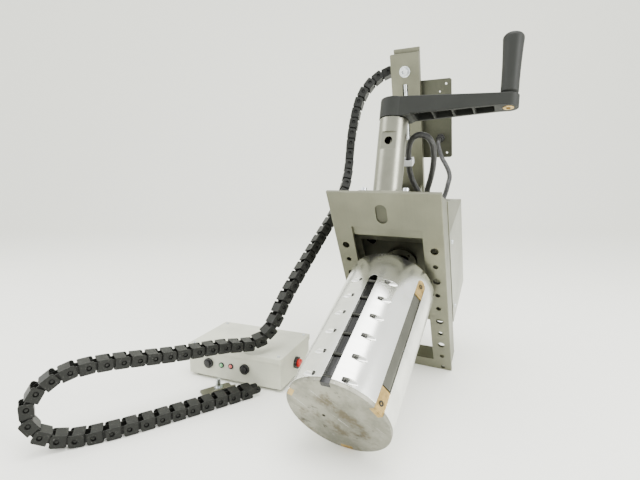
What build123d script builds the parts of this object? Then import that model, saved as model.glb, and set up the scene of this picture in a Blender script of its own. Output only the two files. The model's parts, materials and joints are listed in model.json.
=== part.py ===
from build123d import *
from math import atan2, cos, degrees, hypot, pi, radians, sin, tan
import os

# Hand-cranked slotted drum head on a mounting plate, with a cable chain and a control box.
#
# The head leans forward and rests on its plate's foot and on the drum's front rim.
# Head coordinates: x to the right, y back from the plate's face, z up the plate, origin
# at the middle of the plate's foot.  Millimetres throughout.

os.makedirs("parts", exist_ok=True)

# ---------------------------------------------------------------- driving dimensions
PLATE_WIDTH, PLATE_HEIGHT, PLATE_THICK = 178, 382, 5
WINDOW_WIDTH, WINDOW_FOOT, WINDOW_TOP = 114, 25, 318
HOLE_ROW_X, FIRST_HOLE_Z, HOLE_PITCH = 73.3, 280, 30.3
HOLE_PATTERN = "BsBssBsBss"
BIG_HOLE_R, SMALL_HOLE_R = 6.25, 4.25
OVAL_X, OVAL_Z, OVAL_WIDTH, OVAL_HEIGHT, OVAL_DEPTH = -3, 344, 18, 34, 2.6

FRAME_BACK = 44                      # where the frame behind the plate ends
HOUSING_BACK, HOUSING_FOOT, HOUSING_TOP = 165, 83, 281
SIDE_X = 88                          # outer faces of the housing
SHEET = 3
WINDOW_BAR, BAR_DROP = 6, 14            # the bar behind the window's head, and half its height

DRUM_RADIUS, DRUM_WALL, DRUM_HEIGHT, DRUM_TURN = 71, 12, 208.7, -1.3
DRUM_FRONT, DRUM_REAR, END_THICK = -262, -13, 6
TOP_SLOT_WIDTH, TOP_SLOT_REAR = 13, -66
SIDE_SLOT_WIDTH, SIDE_SLOT_REAR = 17, -33
SIDE_SLOTS = (-60, 60, 180)
CLAMP_ANGLE, CLAMP_FIRST, CLAMP_PITCH, CLAMP_COUNT = 23, -76, 35, 6

TUBE_TILT = 41                       # crank tube, back from the plate's own upright
TUBE_FOOT_Y = 26
TUBE_RADIUS, TUBE_BORE, TUBE_FOOT, TUBE_TOP = 22, 17, 6, 121
SPINDLE_RADIUS, RUNNING_FIT = 7, 0.05
CRANK_RADIUS, HUB_RADIUS, HUB_LOW, HUB_HIGH = 163, 23, 121.5, 152
TIP_RADIUS, TIP_LOW, TIP_HIGH = 13.5, 130, 148
GRIP_LOW, GRIP_HIGH, GRIP_BOLT_R = 149, 237, 4

POST_TILT = 9.5
POST_FOOT = (-35.6, 259.8, 110)
POST_WIDTH, POST_LENGTH, BAR_THICK, BAR_GAP = 56, 395, 6, 8
POST_BOLT_Z = POST_LENGTH - 33

BOX_CORNER, BOX_TURN = (-342.5, -228, 0), 5
BOX_WIDTH, BOX_DEPTH, BOX_HEIGHT, BOX_FEET = 188, 122, 60, 5

CHAIN_PITCH, CHAIN_HEIGHT = 22, 17
STAND = (102.053, 154.967, 0)         # where the plate's foot stands in the whole model

# ---------------------------------------------------------------- places
LEAN = degrees(atan2(DRUM_HEIGHT - DRUM_RADIUS, -DRUM_FRONT))
HEAD = Location(STAND) * Location((0, 0, 0), (LEAN, 0, 0))
DRUM = HEAD * Location((0, 0, DRUM_HEIGHT), (0, DRUM_TURN, 0)) * Location((0, 0, -DRUM_HEIGHT))
TUBE_FOOT_Z = PLATE_HEIGHT - TUBE_FOOT_Y * tan(radians(TUBE_TILT))
TUBE = HEAD * Location((0, TUBE_FOOT_Y, TUBE_FOOT_Z), (-TUBE_TILT, 0, 0))
POST = HEAD * Location(POST_FOOT, (-POST_TILT, 0, 0))
BOX = Location(STAND) * Location(BOX_CORNER, (0, 0, BOX_TURN))
GROUND = Location(STAND)


def facing(y):
    """A plane seen from the front, y behind the plate's face (x right, y up)."""
    return Plane.XZ.offset(-y)


def save(piece, label, place=HEAD):
    """Moves a finished piece to its place, labels it and writes it."""
    moved = piece.part.moved(place)
    moved.label = label
    export_step(moved, f"parts/{label}.step")


def save_group(label, *placed):
    """Writes several separate solids, given as (piece, place) pairs, as one node."""
    solids = [solid for piece, place in placed for solid in piece.part.moved(place).solids()]
    group = Compound(solids)
    group.label = label
    export_step(group, f"parts/{label}.step")


def slope_z(y):
    """Height of the sloped top above the plate's foot, y behind the plate's face."""
    front = PLATE_HEIGHT - tan(radians(TUBE_TILT)) * min(y, FRAME_BACK)
    return front - 0.5686 * max(0, y - FRAME_BACK)


def around_drum(angle, radius):
    """A point on the drum's section, angle degrees clockwise from its top."""
    return radius * sin(radians(angle)), DRUM_HEIGHT + radius * cos(radians(angle))


# ---------------------------------------------------------------- mounting plate and frame
with BuildPart() as front_plate:
    with BuildSketch(facing(0)):
        with Locations((0, PLATE_HEIGHT / 2)):
            Rectangle(PLATE_WIDTH, PLATE_HEIGHT)
        with Locations((0, (WINDOW_FOOT + WINDOW_TOP) / 2)):
            Rectangle(WINDOW_WIDTH, WINDOW_TOP - WINDOW_FOOT, mode=Mode.SUBTRACT)
        for index, size in enumerate(HOLE_PATTERN):
            z = FIRST_HOLE_Z - index * HOLE_PITCH
            with Locations((-HOLE_ROW_X, z), (HOLE_ROW_X, z)):
                Circle(BIG_HOLE_R if size == "B" else SMALL_HOLE_R, mode=Mode.SUBTRACT)
        with Locations((OVAL_X, OVAL_Z)):
            SlotOverall(OVAL_HEIGHT, OVAL_WIDTH, rotation=90, mode=Mode.SUBTRACT)
    extrude(amount=-PLATE_THICK)
    chamfer(front_plate.faces().sort_by(Axis.Y)[0].outer_wire().edges(), 0.8)
save(front_plate, "front_plate")

with BuildPart() as oval_plug:
    with BuildSketch(facing(OVAL_DEPTH)):
        with Locations((OVAL_X, OVAL_Z)):
            SlotOverall(OVAL_HEIGHT, OVAL_WIDTH, rotation=90)
    extrude(amount=-(PLATE_THICK - OVAL_DEPTH))
save(oval_plug, "oval_plug")

with BuildPart() as frame_channel:
    # a U of sheet: floor and two side walls whose tops follow the slope
    for side in (-1, 1):
        inner = side * (SIDE_X - 1 - SHEET)
        with BuildSketch(Plane.YZ.offset(inner)):
            with BuildLine():
                Polyline(
                    (PLATE_THICK, 4),
                    (FRAME_BACK, 4),
                    (FRAME_BACK, slope_z(FRAME_BACK)),
                    (PLATE_THICK, slope_z(PLATE_THICK)),
                    close=True,
                )
            make_face()
        extrude(amount=side * SHEET)
    with Locations((0, (PLATE_THICK + FRAME_BACK) / 2, 4 + SHEET / 2)):
        Box(2 * (SIDE_X - 1), FRAME_BACK - PLATE_THICK, SHEET)
    # a bar close behind the plate that narrows the head of the window
    with Locations((0, PLATE_THICK + WINDOW_BAR / 2, WINDOW_TOP - 4)):
        Box(2 * (SIDE_X - 1), WINDOW_BAR, 2 * BAR_DROP)
with BuildPart() as inner_wall:
    top = slope_z(FRAME_BACK + SHEET) - SHEET - 0.5
    with BuildSketch(facing(FRAME_BACK)):
        with Locations((0, (HOUSING_FOOT + top) / 2)):
            Rectangle(2 * (SIDE_X - SHEET) - 0.4, top - HOUSING_FOOT)
        with Locations((0, (100 + 262) / 2)):
            Rectangle(128, 162, mode=Mode.SUBTRACT)
        with Locations((0, slope_z(FRAME_BACK) - 34)):
            Circle(15, mode=Mode.SUBTRACT)
    extrude(amount=-SHEET)
save_group("frame_channel", (frame_channel, HEAD), (inner_wall, HEAD))

# ---------------------------------------------------------------- gear housing
TOP_GROMMETS, BACK_GROMMET, GROMMET_RADIUS = ((27, 110), (41.5, 110)), (50, 257), 6.4

with BuildPart() as gear_housing:
    # one bent sheet: left wall, floor and back wall, with a lip for the side panel
    with BuildSketch(Plane.YZ.offset(-SIDE_X)):
        with BuildLine():
            Polyline(
                (FRAME_BACK + SHEET, HOUSING_FOOT),
                (HOUSING_BACK, HOUSING_FOOT),
                (HOUSING_BACK, slope_z(HOUSING_BACK) - 2),
                (FRAME_BACK + SHEET, HOUSING_TOP),
                close=True,
            )
        make_face()
    extrude(amount=SHEET)
    with Locations((-SHEET / 2, (FRAME_BACK + SHEET + HOUSING_BACK) / 2, HOUSING_FOOT + SHEET / 2)):
        Box(2 * SIDE_X - SHEET, HOUSING_BACK - FRAME_BACK - SHEET, SHEET)
    back_top = slope_z(HOUSING_BACK) - 2
    with Locations((-SHEET / 2, HOUSING_BACK - SHEET / 2, (HOUSING_FOOT + back_top) / 2)):
        Box(2 * SIDE_X - SHEET, SHEET, back_top - HOUSING_FOOT)
    with Locations((SIDE_X - SHEET - 1.25, 64, (HOUSING_FOOT + HOUSING_TOP) / 2)):
        Box(2.5, 22, HOUSING_TOP - HOUSING_FOOT)
    with Locations(Location((0, HOUSING_BACK, DRUM_HEIGHT), (90, 0, 0))):
        Hole(26)
    with Locations(Location((BACK_GROMMET[0], HOUSING_BACK, BACK_GROMMET[1]), (90, 0, 0))):
        Hole(GROMMET_RADIUS, depth=2 * SHEET)
    for z in (111, 255):
        with Locations(Location((SIDE_X, 62, z), (0, 90, 0))):
            Hole(2.1, depth=8)
save(gear_housing, "gear_housing")

with BuildPart() as side_panel:
    with BuildSketch(Plane.YZ.offset(SIDE_X - SHEET)):
        with BuildLine():
            Polyline(
                (FRAME_BACK + SHEET, HOUSING_FOOT + 0.3),
                (HOUSING_BACK, HOUSING_FOOT + 0.3),
                (HOUSING_BACK, slope_z(HOUSING_BACK) - 2),
                (FRAME_BACK + SHEET, HOUSING_TOP),
                close=True,
            )
        make_face()
        with Locations((62, 111), (62, 255)):
            Circle(2.1, mode=Mode.SUBTRACT)
    extrude(amount=SHEET)
save(side_panel, "side_panel")

with BuildPart() as panel_screws:
    for z in (111, 255):
        with BuildSketch(Plane.YZ.offset(SIDE_X)):
            with Locations((62, z)):
                Circle(3.8)
        extrude(amount=2.4, taper=12)
        with BuildSketch(Plane.YZ.offset(SIDE_X)):
            with Locations((62, z)):
                Circle(2.1)
        extrude(amount=-5)
        with BuildSketch(Plane.YZ.offset(SIDE_X + 2.4)):
            with Locations((62, z)):
                RegularPolygon(1.6, 6)
        extrude(amount=-1.4, mode=Mode.SUBTRACT)

with BuildPart() as top_cover:
    # sloped sheet with a downturned flange each side
    y0, y1 = FRAME_BACK + 0.3, HOUSING_BACK
    with BuildSketch(Plane.YZ.offset(-SIDE_X)):
        with BuildLine():
            Polyline(
                (y0, slope_z(y0) - SHEET),
                (y1, slope_z(y1) - 2),
                (y1, slope_z(y1) + 1.2),
                (y0, slope_z(y0)),
                close=True,
            )
        make_face()
    extrude(amount=2 * SIDE_X)
    for side in (-1, 1):
        with BuildSketch(Plane.YZ.offset(side * SIDE_X)):
            with BuildLine():
                Polyline(
                    (y0, HOUSING_TOP + 0.4),
                    (FRAME_BACK + SHEET, HOUSING_TOP + 0.4),
                    (y1, slope_z(y1) - 1.6),
                    (y1, slope_z(y1)),
                    (y0, slope_z(y0) - 1),
                    close=True,
                )
            make_face()
        extrude(amount=-side * 2.5)
    with BuildSketch(Plane.XY.offset(HOUSING_TOP - 20)):
        with Locations(*TOP_GROMMETS):
            Circle(GROMMET_RADIUS)
    extrude(amount=60, mode=Mode.SUBTRACT)
save(top_cover, "top_cover")

with BuildPart() as base_plate:
    # thick sloped plate that carries the crank tube
    with BuildSketch(Plane.YZ.offset(-(SIDE_X - 1 - SHEET))):
        with BuildLine():
            Polyline(
                (PLATE_THICK, slope_z(PLATE_THICK)),
                (FRAME_BACK, slope_z(FRAME_BACK)),
                (FRAME_BACK, slope_z(FRAME_BACK) - 5),
                (PLATE_THICK, slope_z(PLATE_THICK) - 5),
                close=True,
            )
        make_face()
    extrude(amount=2 * (SIDE_X - 1 - SHEET))
    with Locations(Location((0, TUBE_FOOT_Y, TUBE_FOOT_Z), (-TUBE_TILT, 0, 0))):
        Hole(11)

# ---------------------------------------------------------------- crank tube (own axis is z)
FLANGE_X, FLANGE_Y = 84, 46
SCREW_X, SCREW_Y = 33, 15

with BuildPart() as tube_flange:
    with BuildSketch():
        RectangleRounded(FLANGE_X, FLANGE_Y, 5)
        Circle(11, mode=Mode.SUBTRACT)
        with GridLocations(2 * SCREW_X, 2 * SCREW_Y, 2, 2):
            Circle(2.6, mode=Mode.SUBTRACT)
    extrude(amount=TUBE_FOOT)
    chamfer(tube_flange.faces().sort_by(Axis.Z)[-1].outer_wire().edges(), 1)
save_group("tube_base", (base_plate, HEAD), (tube_flange, TUBE))

with BuildPart() as flange_screws:
    with BuildSketch(Plane.XY.offset(TUBE_FOOT)):
        with GridLocations(2 * SCREW_X, 2 * SCREW_Y, 2, 2):
            Circle(4.5)
    extrude(amount=5)
    with BuildSketch(Plane.XY.offset(TUBE_FOOT + 5)):
        with GridLocations(2 * SCREW_X, 2 * SCREW_Y, 2, 2):
            RegularPolygon(2.3, 6)
    extrude(amount=-2.6, mode=Mode.SUBTRACT)
    with BuildSketch(Plane.XY.offset(TUBE_FOOT)):
        with GridLocations(2 * SCREW_X, 2 * SCREW_Y, 2, 2):
            Circle(2.5)
    extrude(amount=-TUBE_FOOT)

PORT_Z, FLAT_OUT = 84, 18.6
with BuildPart() as crank_tube:
    with BuildSketch(Plane.XY.offset(TUBE_FOOT)):
        Circle(TUBE_RADIUS)
        Circle(TUBE_BORE, mode=Mode.SUBTRACT)
    extrude(amount=TUBE_TOP - TUBE_FOOT)
    # milled flat with a round port, on the side that faces forward
    with Locations((0, -FLAT_OUT - 5, PORT_Z)):
        Box(60, 10, 27, mode=Mode.SUBTRACT)
    with BuildSketch(Plane.XZ.offset(10)):
        with Locations((0, PORT_Z)):
            Circle(6.2)
    extrude(amount=20, mode=Mode.SUBTRACT)
    chamfer(crank_tube.edges().filter_by(GeomType.CIRCLE).group_by(Axis.Z)[-1], 0.8)
save(crank_tube, "crank_tube", TUBE)

with BuildPart() as spindle_bushes:
    for low, high, outer in ((-5, TUBE_FOOT, 11), (TUBE_TOP - 16, TUBE_TOP, TUBE_BORE)):
        with BuildSketch(Plane.XY.offset(low)):
            Circle(outer)
            Circle(SPINDLE_RADIUS + RUNNING_FIT, mode=Mode.SUBTRACT)
        extrude(amount=high - low)

# ---------------------------------------------------------------- crank, arm and grip
JOURNAL_RADIUS, BOLT_RECESS = 4.5, 4.5
with BuildPart() as crank_spindle:
    with BuildSketch(Plane.XY.offset(-15)):
        Circle(JOURNAL_RADIUS)
    extrude(amount=10)
    with BuildSketch(Plane.XY.offset(-5)):
        Circle(SPINDLE_RADIUS)
    extrude(amount=5 + HUB_HIGH - 6)
save(crank_spindle, "crank_spindle", TUBE)

with BuildPart() as crank_arm:
    # plan: hub, tapering arm and tip
    with BuildSketch(Plane.XY.offset(HUB_LOW)):
        Circle(HUB_RADIUS)
    extrude(amount=HUB_HIGH - HUB_LOW)
    with BuildSketch(Plane.XY.offset(HUB_LOW)):
        Circle(HUB_RADIUS - 3)
        with Locations((CRANK_RADIUS, 0)):
            Circle(TIP_RADIUS)
        make_hull()
    extrude(amount=HUB_HIGH - HUB_LOW)
    # side view: the underside rises and the top falls towards the tip
    with BuildSketch(Plane.XZ):
        with BuildLine():
            Polyline(
                (-HUB_RADIUS - 1, HUB_LOW),
                (HUB_RADIUS, HUB_LOW),
                (HUB_RADIUS + 6, HUB_LOW + 3),
                (CRANK_RADIUS - TIP_RADIUS, TIP_LOW),
                (CRANK_RADIUS + TIP_RADIUS + 1, TIP_LOW),
                (CRANK_RADIUS + TIP_RADIUS + 1, TIP_HIGH),
                (CRANK_RADIUS - TIP_RADIUS, TIP_HIGH),
                (HUB_RADIUS, HUB_HIGH),
                (-HUB_RADIUS - 1, HUB_HIGH),
                close=True,
            )
        make_face()
    extrude(amount=HUB_RADIUS + 1, both=True, mode=Mode.INTERSECT)
    fillet(crank_arm.faces().sort_by(Axis.Z)[-1].edges(), 1.5)
    # hollow underside, divided by ribs
    cells = 4
    first, last = HUB_RADIUS + 9, CRANK_RADIUS - TIP_RADIUS - 3
    cell = (last - first) / cells
    for index in range(cells):
        middle = first + cell * (index + 0.5)
        width = 2 * (HUB_RADIUS - 3 - (HUB_RADIUS - 3 - TIP_RADIUS) * middle / CRANK_RADIUS) - 8
        with BuildSketch(Plane.XY.offset(HUB_LOW)):
            with Locations((middle, 0)):
                RectangleRounded(cell - 3, width, 2)
        extrude(amount=TIP_HIGH - HUB_LOW - 5, mode=Mode.SUBTRACT)
    with BuildSketch(Plane.XY.offset(HUB_LOW)):
        Circle(SPINDLE_RADIUS)
    extrude(amount=HUB_HIGH - 6 - HUB_LOW, mode=Mode.SUBTRACT)
    for low, high, radius in ((TIP_LOW - 1, TIP_LOW + BOLT_RECESS, 8), (TIP_LOW, TIP_HIGH + 1, GRIP_BOLT_R)):
        with BuildSketch(Plane.XY.offset(low)):
            with Locations((CRANK_RADIUS, 0)):
                Circle(radius)
        extrude(amount=high - low, mode=Mode.SUBTRACT)
save(crank_arm, "crank_arm", TUBE)

with BuildPart() as grip_bolt:
    # a socket screw whose head sits in the tip's underside
    with BuildSketch(Plane.XY.offset(TIP_LOW - 0.5)):
        with Locations((CRANK_RADIUS, 0)):
            Circle(7.4)
    extrude(amount=BOLT_RECESS + 0.5)
    fillet(grip_bolt.faces().sort_by(Axis.Z)[0].edges(), 0.8)
    with BuildSketch(Plane.XY.offset(TIP_LOW - 0.5)):
        with Locations((CRANK_RADIUS, 0)):
            RegularPolygon(3.6, 6)
    extrude(amount=3, mode=Mode.SUBTRACT)
    with BuildSketch(Plane.XY.offset(TIP_LOW + BOLT_RECESS)):
        with Locations((CRANK_RADIUS, 0)):
            Circle(GRIP_BOLT_R)
    extrude(amount=GRIP_HIGH - 12 - TIP_LOW - BOLT_RECESS)
save(grip_bolt, "grip_bolt", TUBE)

with BuildPart() as crank_grip:
    with BuildSketch(Plane.XZ):
        with BuildLine():
            Polyline((0, GRIP_LOW), (9.5, GRIP_LOW), (12, GRIP_LOW + 3))
            Spline((12, GRIP_LOW + 3), (12.3, GRIP_LOW + 34), (14.3, GRIP_HIGH - 8))
            JernArc((14.3, GRIP_HIGH - 8), (0, 1), 7, 90)
            Polyline((7.3, GRIP_HIGH - 1), (0, GRIP_HIGH - 1), (0, GRIP_LOW))
        make_face()
    revolve(axis=Axis.Z)
    with BuildSketch(Plane.XY.offset(GRIP_LOW)):
        Circle(GRIP_BOLT_R + RUNNING_FIT)
    extrude(amount=GRIP_HIGH - 11 - GRIP_LOW, mode=Mode.SUBTRACT)
save(crank_grip, "crank_grip", TUBE * Location((CRANK_RADIUS, 0, 0)))


# ---------------------------------------------------------------- bevel gears (apex at origin)
def bevel_gear(teeth, cone, reach, face, bore, phase=0):
    """Straight bevel gear: half cone angle in degrees, reach is the outer cone distance.

    Its apex is at the origin and its back is reach * cos(cone) along +z.
    """
    back, front = reach * cos(radians(cone)), (reach - face) * cos(radians(cone))
    pitch_radius = reach * sin(radians(cone))
    module = 2 * pitch_radius / teeth
    outer = pitch_radius + 0.8 * module * cos(radians(cone))
    root = pitch_radius - 1.05 * module * cos(radians(cone))
    step = 2 * pi / teeth
    points = []
    for index in range(teeth):
        middle = index * step + radians(phase)
        for offset, radius in ((-0.3, root), (-0.13, outer), (0.13, outer), (0.3, root)):
            angle = middle + offset * step
            points.append((radius * cos(angle), radius * sin(angle)))
    shrink = front / back
    with BuildPart() as gear:
        with BuildSketch(Plane.XY.offset(back)):
            with BuildLine():
                Polyline(*points, close=True)
            make_face()
        with BuildSketch(Plane.XY.offset(front)):
            with BuildLine():
                Polyline(*[(x * shrink, y * shrink) for x, y in points], close=True)
            make_face()
        loft(ruled=True)
        with BuildSketch(Plane.XY.offset(back)):
            Circle(max(bore + 4, 0.55 * pitch_radius))
        extrude(amount=6)
        with Locations((0, 0, back)):
            Hole(bore, depth=200)
    return gear


MITRE_DROP, MITRE_RADIUS, MITRE_TEETH = 22, 11, 16
apex_y = TUBE_FOOT_Y - MITRE_DROP * sin(radians(TUBE_TILT))
apex_z = TUBE_FOOT_Z - MITRE_DROP * cos(radians(TUBE_TILT))
far_y = apex_y + (apex_z - DRUM_HEIGHT) / tan(radians(TUBE_TILT))
COUNTER_LENGTH = hypot(far_y - apex_y, apex_z - DRUM_HEIGHT)
PINION_TEETH, GEAR_TEETH, BEVEL_REACH = 12, 36, 85
SHAFT_ANGLE = TUBE_TILT
gear_cone = degrees(atan2(sin(radians(SHAFT_ANGLE)), PINION_TEETH / GEAR_TEETH + cos(radians(SHAFT_ANGLE))))
pinion_cone = SHAFT_ANGLE - gear_cone
COUNTER_RADIUS = 6

MITRE_UP = HEAD * Location((0, apex_y, apex_z), (-TUBE_TILT, 0, 0))
COUNTER = HEAD * Location((0, apex_y, apex_z), (-90 - TUBE_TILT, 0, 0))
PINION = HEAD * Location((0, far_y, DRUM_HEIGHT), (90 - TUBE_TILT, 0, 0))
GEAR = HEAD * Location((0, far_y, DRUM_HEIGHT), (90, 0, 0))

mitre_reach = MITRE_RADIUS * 2 ** 0.5
spindle_gear = bevel_gear(MITRE_TEETH, 45, mitre_reach, 6, JOURNAL_RADIUS)
save(spindle_gear, "spindle_gear", MITRE_UP)
upper_gear = bevel_gear(MITRE_TEETH, 45, mitre_reach, 6, JOURNAL_RADIUS, phase=180 / MITRE_TEETH)
save(upper_gear, "countershaft_gear", COUNTER)
pinion = bevel_gear(PINION_TEETH, pinion_cone, BEVEL_REACH, 20, COUNTER_RADIUS)
save(pinion, "countershaft_pinion", PINION)
drum_gear = bevel_gear(GEAR_TEETH, gear_cone, BEVEL_REACH, 20, 12.5, phase=180 / GEAR_TEETH)
save(drum_gear, "drum_gear", GEAR)

# ---------------------------------------------------------------- countershaft (own axis is z)
UPPER_BUSH, LOWER_BUSH = (59, 69), (COUNTER_LENGTH - 60, COUNTER_LENGTH - 50)
BUSH_RADIUS = 9

with BuildPart() as countershaft:
    with BuildSketch(Plane.XY.offset(7)):
        Circle(JOURNAL_RADIUS)
    extrude(amount=10)
    with BuildSketch(Plane.XY.offset(17)):
        Circle(COUNTER_RADIUS)
    extrude(amount=LOWER_BUSH[1] - 17)
save(countershaft, "countershaft", COUNTER)

with BuildPart() as countershaft_bushes:
    for low, high in (UPPER_BUSH, LOWER_BUSH):
        with BuildSketch(Plane.XY.offset(low)):
            Circle(BUSH_RADIUS)
            Circle(COUNTER_RADIUS + RUNNING_FIT, mode=Mode.SUBTRACT)
        extrude(amount=high - low)
save_group("bronze_bushes", (spindle_bushes, TUBE), (countershaft_bushes, COUNTER))

with BuildPart() as countershaft_bracket:
    # a beam above the shaft with two bearing arms and a cross bar between the housing walls
    low, high = UPPER_BUSH[0], LOWER_BUSH[1]
    with Locations((0, -21, (low + high) / 2)):
        Box(26, 6, high - low)
    with Locations((-1.25, -21, low + 5)):
        Box(2 * SIDE_X - 2 * SHEET - 2.5, 6, 10)
    for start, end in (UPPER_BUSH, LOWER_BUSH):
        with Locations((0, -4, (start + end) / 2)):
            Box(26, 30, end - start)
        with BuildSketch(Plane.XY.offset(start)):
            Circle(BUSH_RADIUS)
        extrude(amount=end - start, mode=Mode.SUBTRACT)
save(countershaft_bracket, "countershaft_bracket", COUNTER)

# ---------------------------------------------------------------- drum bearings and shaft
SHAFT_RADIUS, WEB_Y, WEB_THICK, BEARING_R = 12.5, 60, 6, 24
with BuildPart() as bearing_web:
    with BuildSketch(facing(WEB_Y)):
        with Locations((-1.25, (HOUSING_FOOT + SHEET + 278) / 2)):
            Rectangle(2 * SIDE_X - 2 * SHEET - 2.5, 278 - HOUSING_FOOT - SHEET)
        with Locations((0, DRUM_HEIGHT)):
            Circle(BEARING_R, mode=Mode.SUBTRACT)
        with Locations((-52, 130), (52, 130), (-52, 250), (52, 250)):
            Circle(9, mode=Mode.SUBTRACT)
    extrude(amount=-WEB_THICK)
save(bearing_web, "bearing_web")

with BuildPart() as bearing_flanges:
    for start, thick, outer, screws in ((WEB_Y - 5, 5, 27, 21), (HOUSING_BACK, 6, 36, 30)):
        with BuildSketch(facing(start)):
            with Locations((0, DRUM_HEIGHT)):
                Circle(outer)
                Circle(15, mode=Mode.SUBTRACT)
                with PolarLocations(screws, 4, 45):
                    Circle(2.6, mode=Mode.SUBTRACT)
        extrude(amount=-thick)

with BuildPart() as drum_bearings:
    for start, thick, outer in ((WEB_Y, WEB_THICK, BEARING_R), (HOUSING_BACK - 10, 10, 26)):
        with BuildSketch(facing(start)):
            with Locations((0, DRUM_HEIGHT)):
                Circle(outer)
                Circle(SHAFT_RADIUS + RUNNING_FIT, mode=Mode.SUBTRACT)
        extrude(amount=-thick)
save_group("drum_bearings", (drum_bearings, HEAD), (bearing_flanges, HEAD))

with BuildPart() as drum_shaft:
    for start, end, radius in ((-40, -25, 30), (-25, HOUSING_BACK + 8, SHAFT_RADIUS)):
        with BuildSketch(facing(start)):
            with Locations((0, DRUM_HEIGHT)):
                Circle(radius)
        extrude(amount=-(end - start))
save(drum_shaft, "drum_shaft")

with BuildPart() as shaft_nut:
    with BuildSketch(facing(HOUSING_BACK + 8)):
        with Locations((0, DRUM_HEIGHT)):
            RegularPolygon(17, 6)
    extrude(amount=-9)
    chamfer(shaft_nut.faces().sort_by(Axis.Y)[-1].edges(), 1.5)
save(shaft_nut, "shaft_nut")

# ---------------------------------------------------------------- drum
SHELL_FRONT, SHELL_INNER = DRUM_FRONT + END_THICK, DRUM_RADIUS - DRUM_WALL
BLOCK_DEPTH, BLOCK_LENGTH, SCREW_R, HEAD_R = 8.5, 32, 2.5, 4.2
BORE_Z = DRUM_HEIGHT + DRUM_RADIUS * cos(radians(CLAMP_ANGLE))


def outward(angle, y, radius):
    """A plane that faces straight out of the drum, its own x along the drum."""
    x, z = around_drum(angle, radius)
    return Plane(origin=(x, y, z), x_dir=(0, 1, 0), z_dir=(sin(radians(angle)), 0, cos(radians(angle))))


def clamp_stations():
    """Where the cross screws stand along the drum."""
    return [CLAMP_FIRST - index * CLAMP_PITCH for index in range(CLAMP_COUNT)]


with BuildPart() as drum_shell:
    with BuildSketch(facing(SHELL_FRONT)):
        with Locations((0, DRUM_HEIGHT)):
            Circle(DRUM_RADIUS)
            Circle(SHELL_INNER, mode=Mode.SUBTRACT)
    extrude(amount=-(DRUM_REAR - SHELL_FRONT))
    chamfer(drum_shell.edges().filter_by(GeomType.CIRCLE).sort_by(SortBy.RADIUS)[-2:], 0.6)
    # slots open at the front and round at the rear, the top one right through the wall
    slots = [(0, TOP_SLOT_WIDTH, TOP_SLOT_REAR, SHELL_INNER - 5)]
    slots += [(angle, SIDE_SLOT_WIDTH, SIDE_SLOT_REAR, DRUM_RADIUS - BLOCK_DEPTH) for angle in SIDE_SLOTS]
    for angle, width, rear, floor in slots:
        centre = rear - width / 2
        with BuildSketch(outward(angle, centre, floor)):
            with Locations(((SHELL_FRONT - 1 - centre) / 2, 0)):
                Rectangle(centre - SHELL_FRONT + 1, width)
            Circle(width / 2)
        extrude(amount=DRUM_RADIUS + 5 - floor, mode=Mode.SUBTRACT)
    # cross bores under the top slot, opened out for the screw heads
    for y in clamp_stations():
        with BuildSketch(Plane.YZ.offset(-18)):
            with Locations((y, BORE_Z)):
                Circle(SCREW_R)
        extrude(amount=36, mode=Mode.SUBTRACT)
        for side in (-1, 1):
            with BuildSketch(Plane.YZ.offset(side * 18)):
                with Locations((y, BORE_Z)):
                    Circle(HEAD_R + 0.1)
            extrude(amount=side * 30, mode=Mode.SUBTRACT)
save(drum_shell, "drum_shell", DRUM)

with BuildPart() as clamp_screws:
    for y in clamp_stations():
        with BuildSketch(Plane.YZ.offset(-20)):
            with Locations((y, BORE_Z)):
                Circle(SCREW_R)
        extrude(amount=40)
        for side in (-1, 1):
            with BuildSketch(Plane.YZ.offset(side * 18)):
                with Locations((y, BORE_Z)):
                    Circle(HEAD_R)
            extrude(amount=side * 3)
            with BuildSketch(Plane.YZ.offset(side * 21)):
                with Locations((y, BORE_Z)):
                    RegularPolygon(2, 6)
            extrude(amount=-side * 2.4, mode=Mode.SUBTRACT)
save(clamp_screws, "clamp_screws", DRUM)

with BuildPart() as drum_end_plate:
    # a disc over the whole end with a spigot inside the shell, notched for the slots
    for start, length, radius in ((DRUM_FRONT, END_THICK, DRUM_RADIUS), (SHELL_FRONT, 6, SHELL_INNER)):
        with BuildSketch(facing(start)):
            with Locations((0, DRUM_HEIGHT)):
                Circle(radius)
        extrude(amount=-length)
    chamfer(drum_end_plate.edges().filter_by(GeomType.CIRCLE).sort_by(SortBy.RADIUS)[-2:], 0.7)
    with BuildSketch(facing(DRUM_FRONT)):
        with Locations(around_drum(0, DRUM_RADIUS)):
            Rectangle(TOP_SLOT_WIDTH, 2 * BLOCK_DEPTH)
        for angle in SIDE_SLOTS:
            with Locations(around_drum(angle, DRUM_RADIUS)):
                Rectangle(SIDE_SLOT_WIDTH, 2 * BLOCK_DEPTH, rotation=-angle)
        with Locations((-19, DRUM_HEIGHT - 3)):
            Circle(2.6)
    extrude(amount=-END_THICK, mode=Mode.SUBTRACT)
    with Locations(Location((0, DRUM_FRONT, DRUM_HEIGHT), (90, 0, 0))):
        CounterSinkHole(radius=1.2, counter_sink_radius=3.2, depth=5)
save(drum_end_plate, "drum_end_plate", DRUM)

with BuildPart() as drum_rear_plate:
    with BuildSketch(facing(-25)):
        with Locations((0, DRUM_HEIGHT)):
            Circle(SHELL_INNER)
            Circle(SHAFT_RADIUS, mode=Mode.SUBTRACT)
            with PolarLocations(22, 4):
                Circle(3, mode=Mode.SUBTRACT)
    extrude(amount=-(DRUM_REAR + 25))
save(drum_rear_plate, "drum_rear_plate")

with BuildPart() as drive_screws:
    for start, length, radius in ((-25, 12, 3), (DRUM_REAR, 5, 5)):
        with BuildSketch(facing(start)):
            with Locations((0, DRUM_HEIGHT)):
                with PolarLocations(22, 4):
                    Circle(radius)
        extrude(amount=-length)


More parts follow.
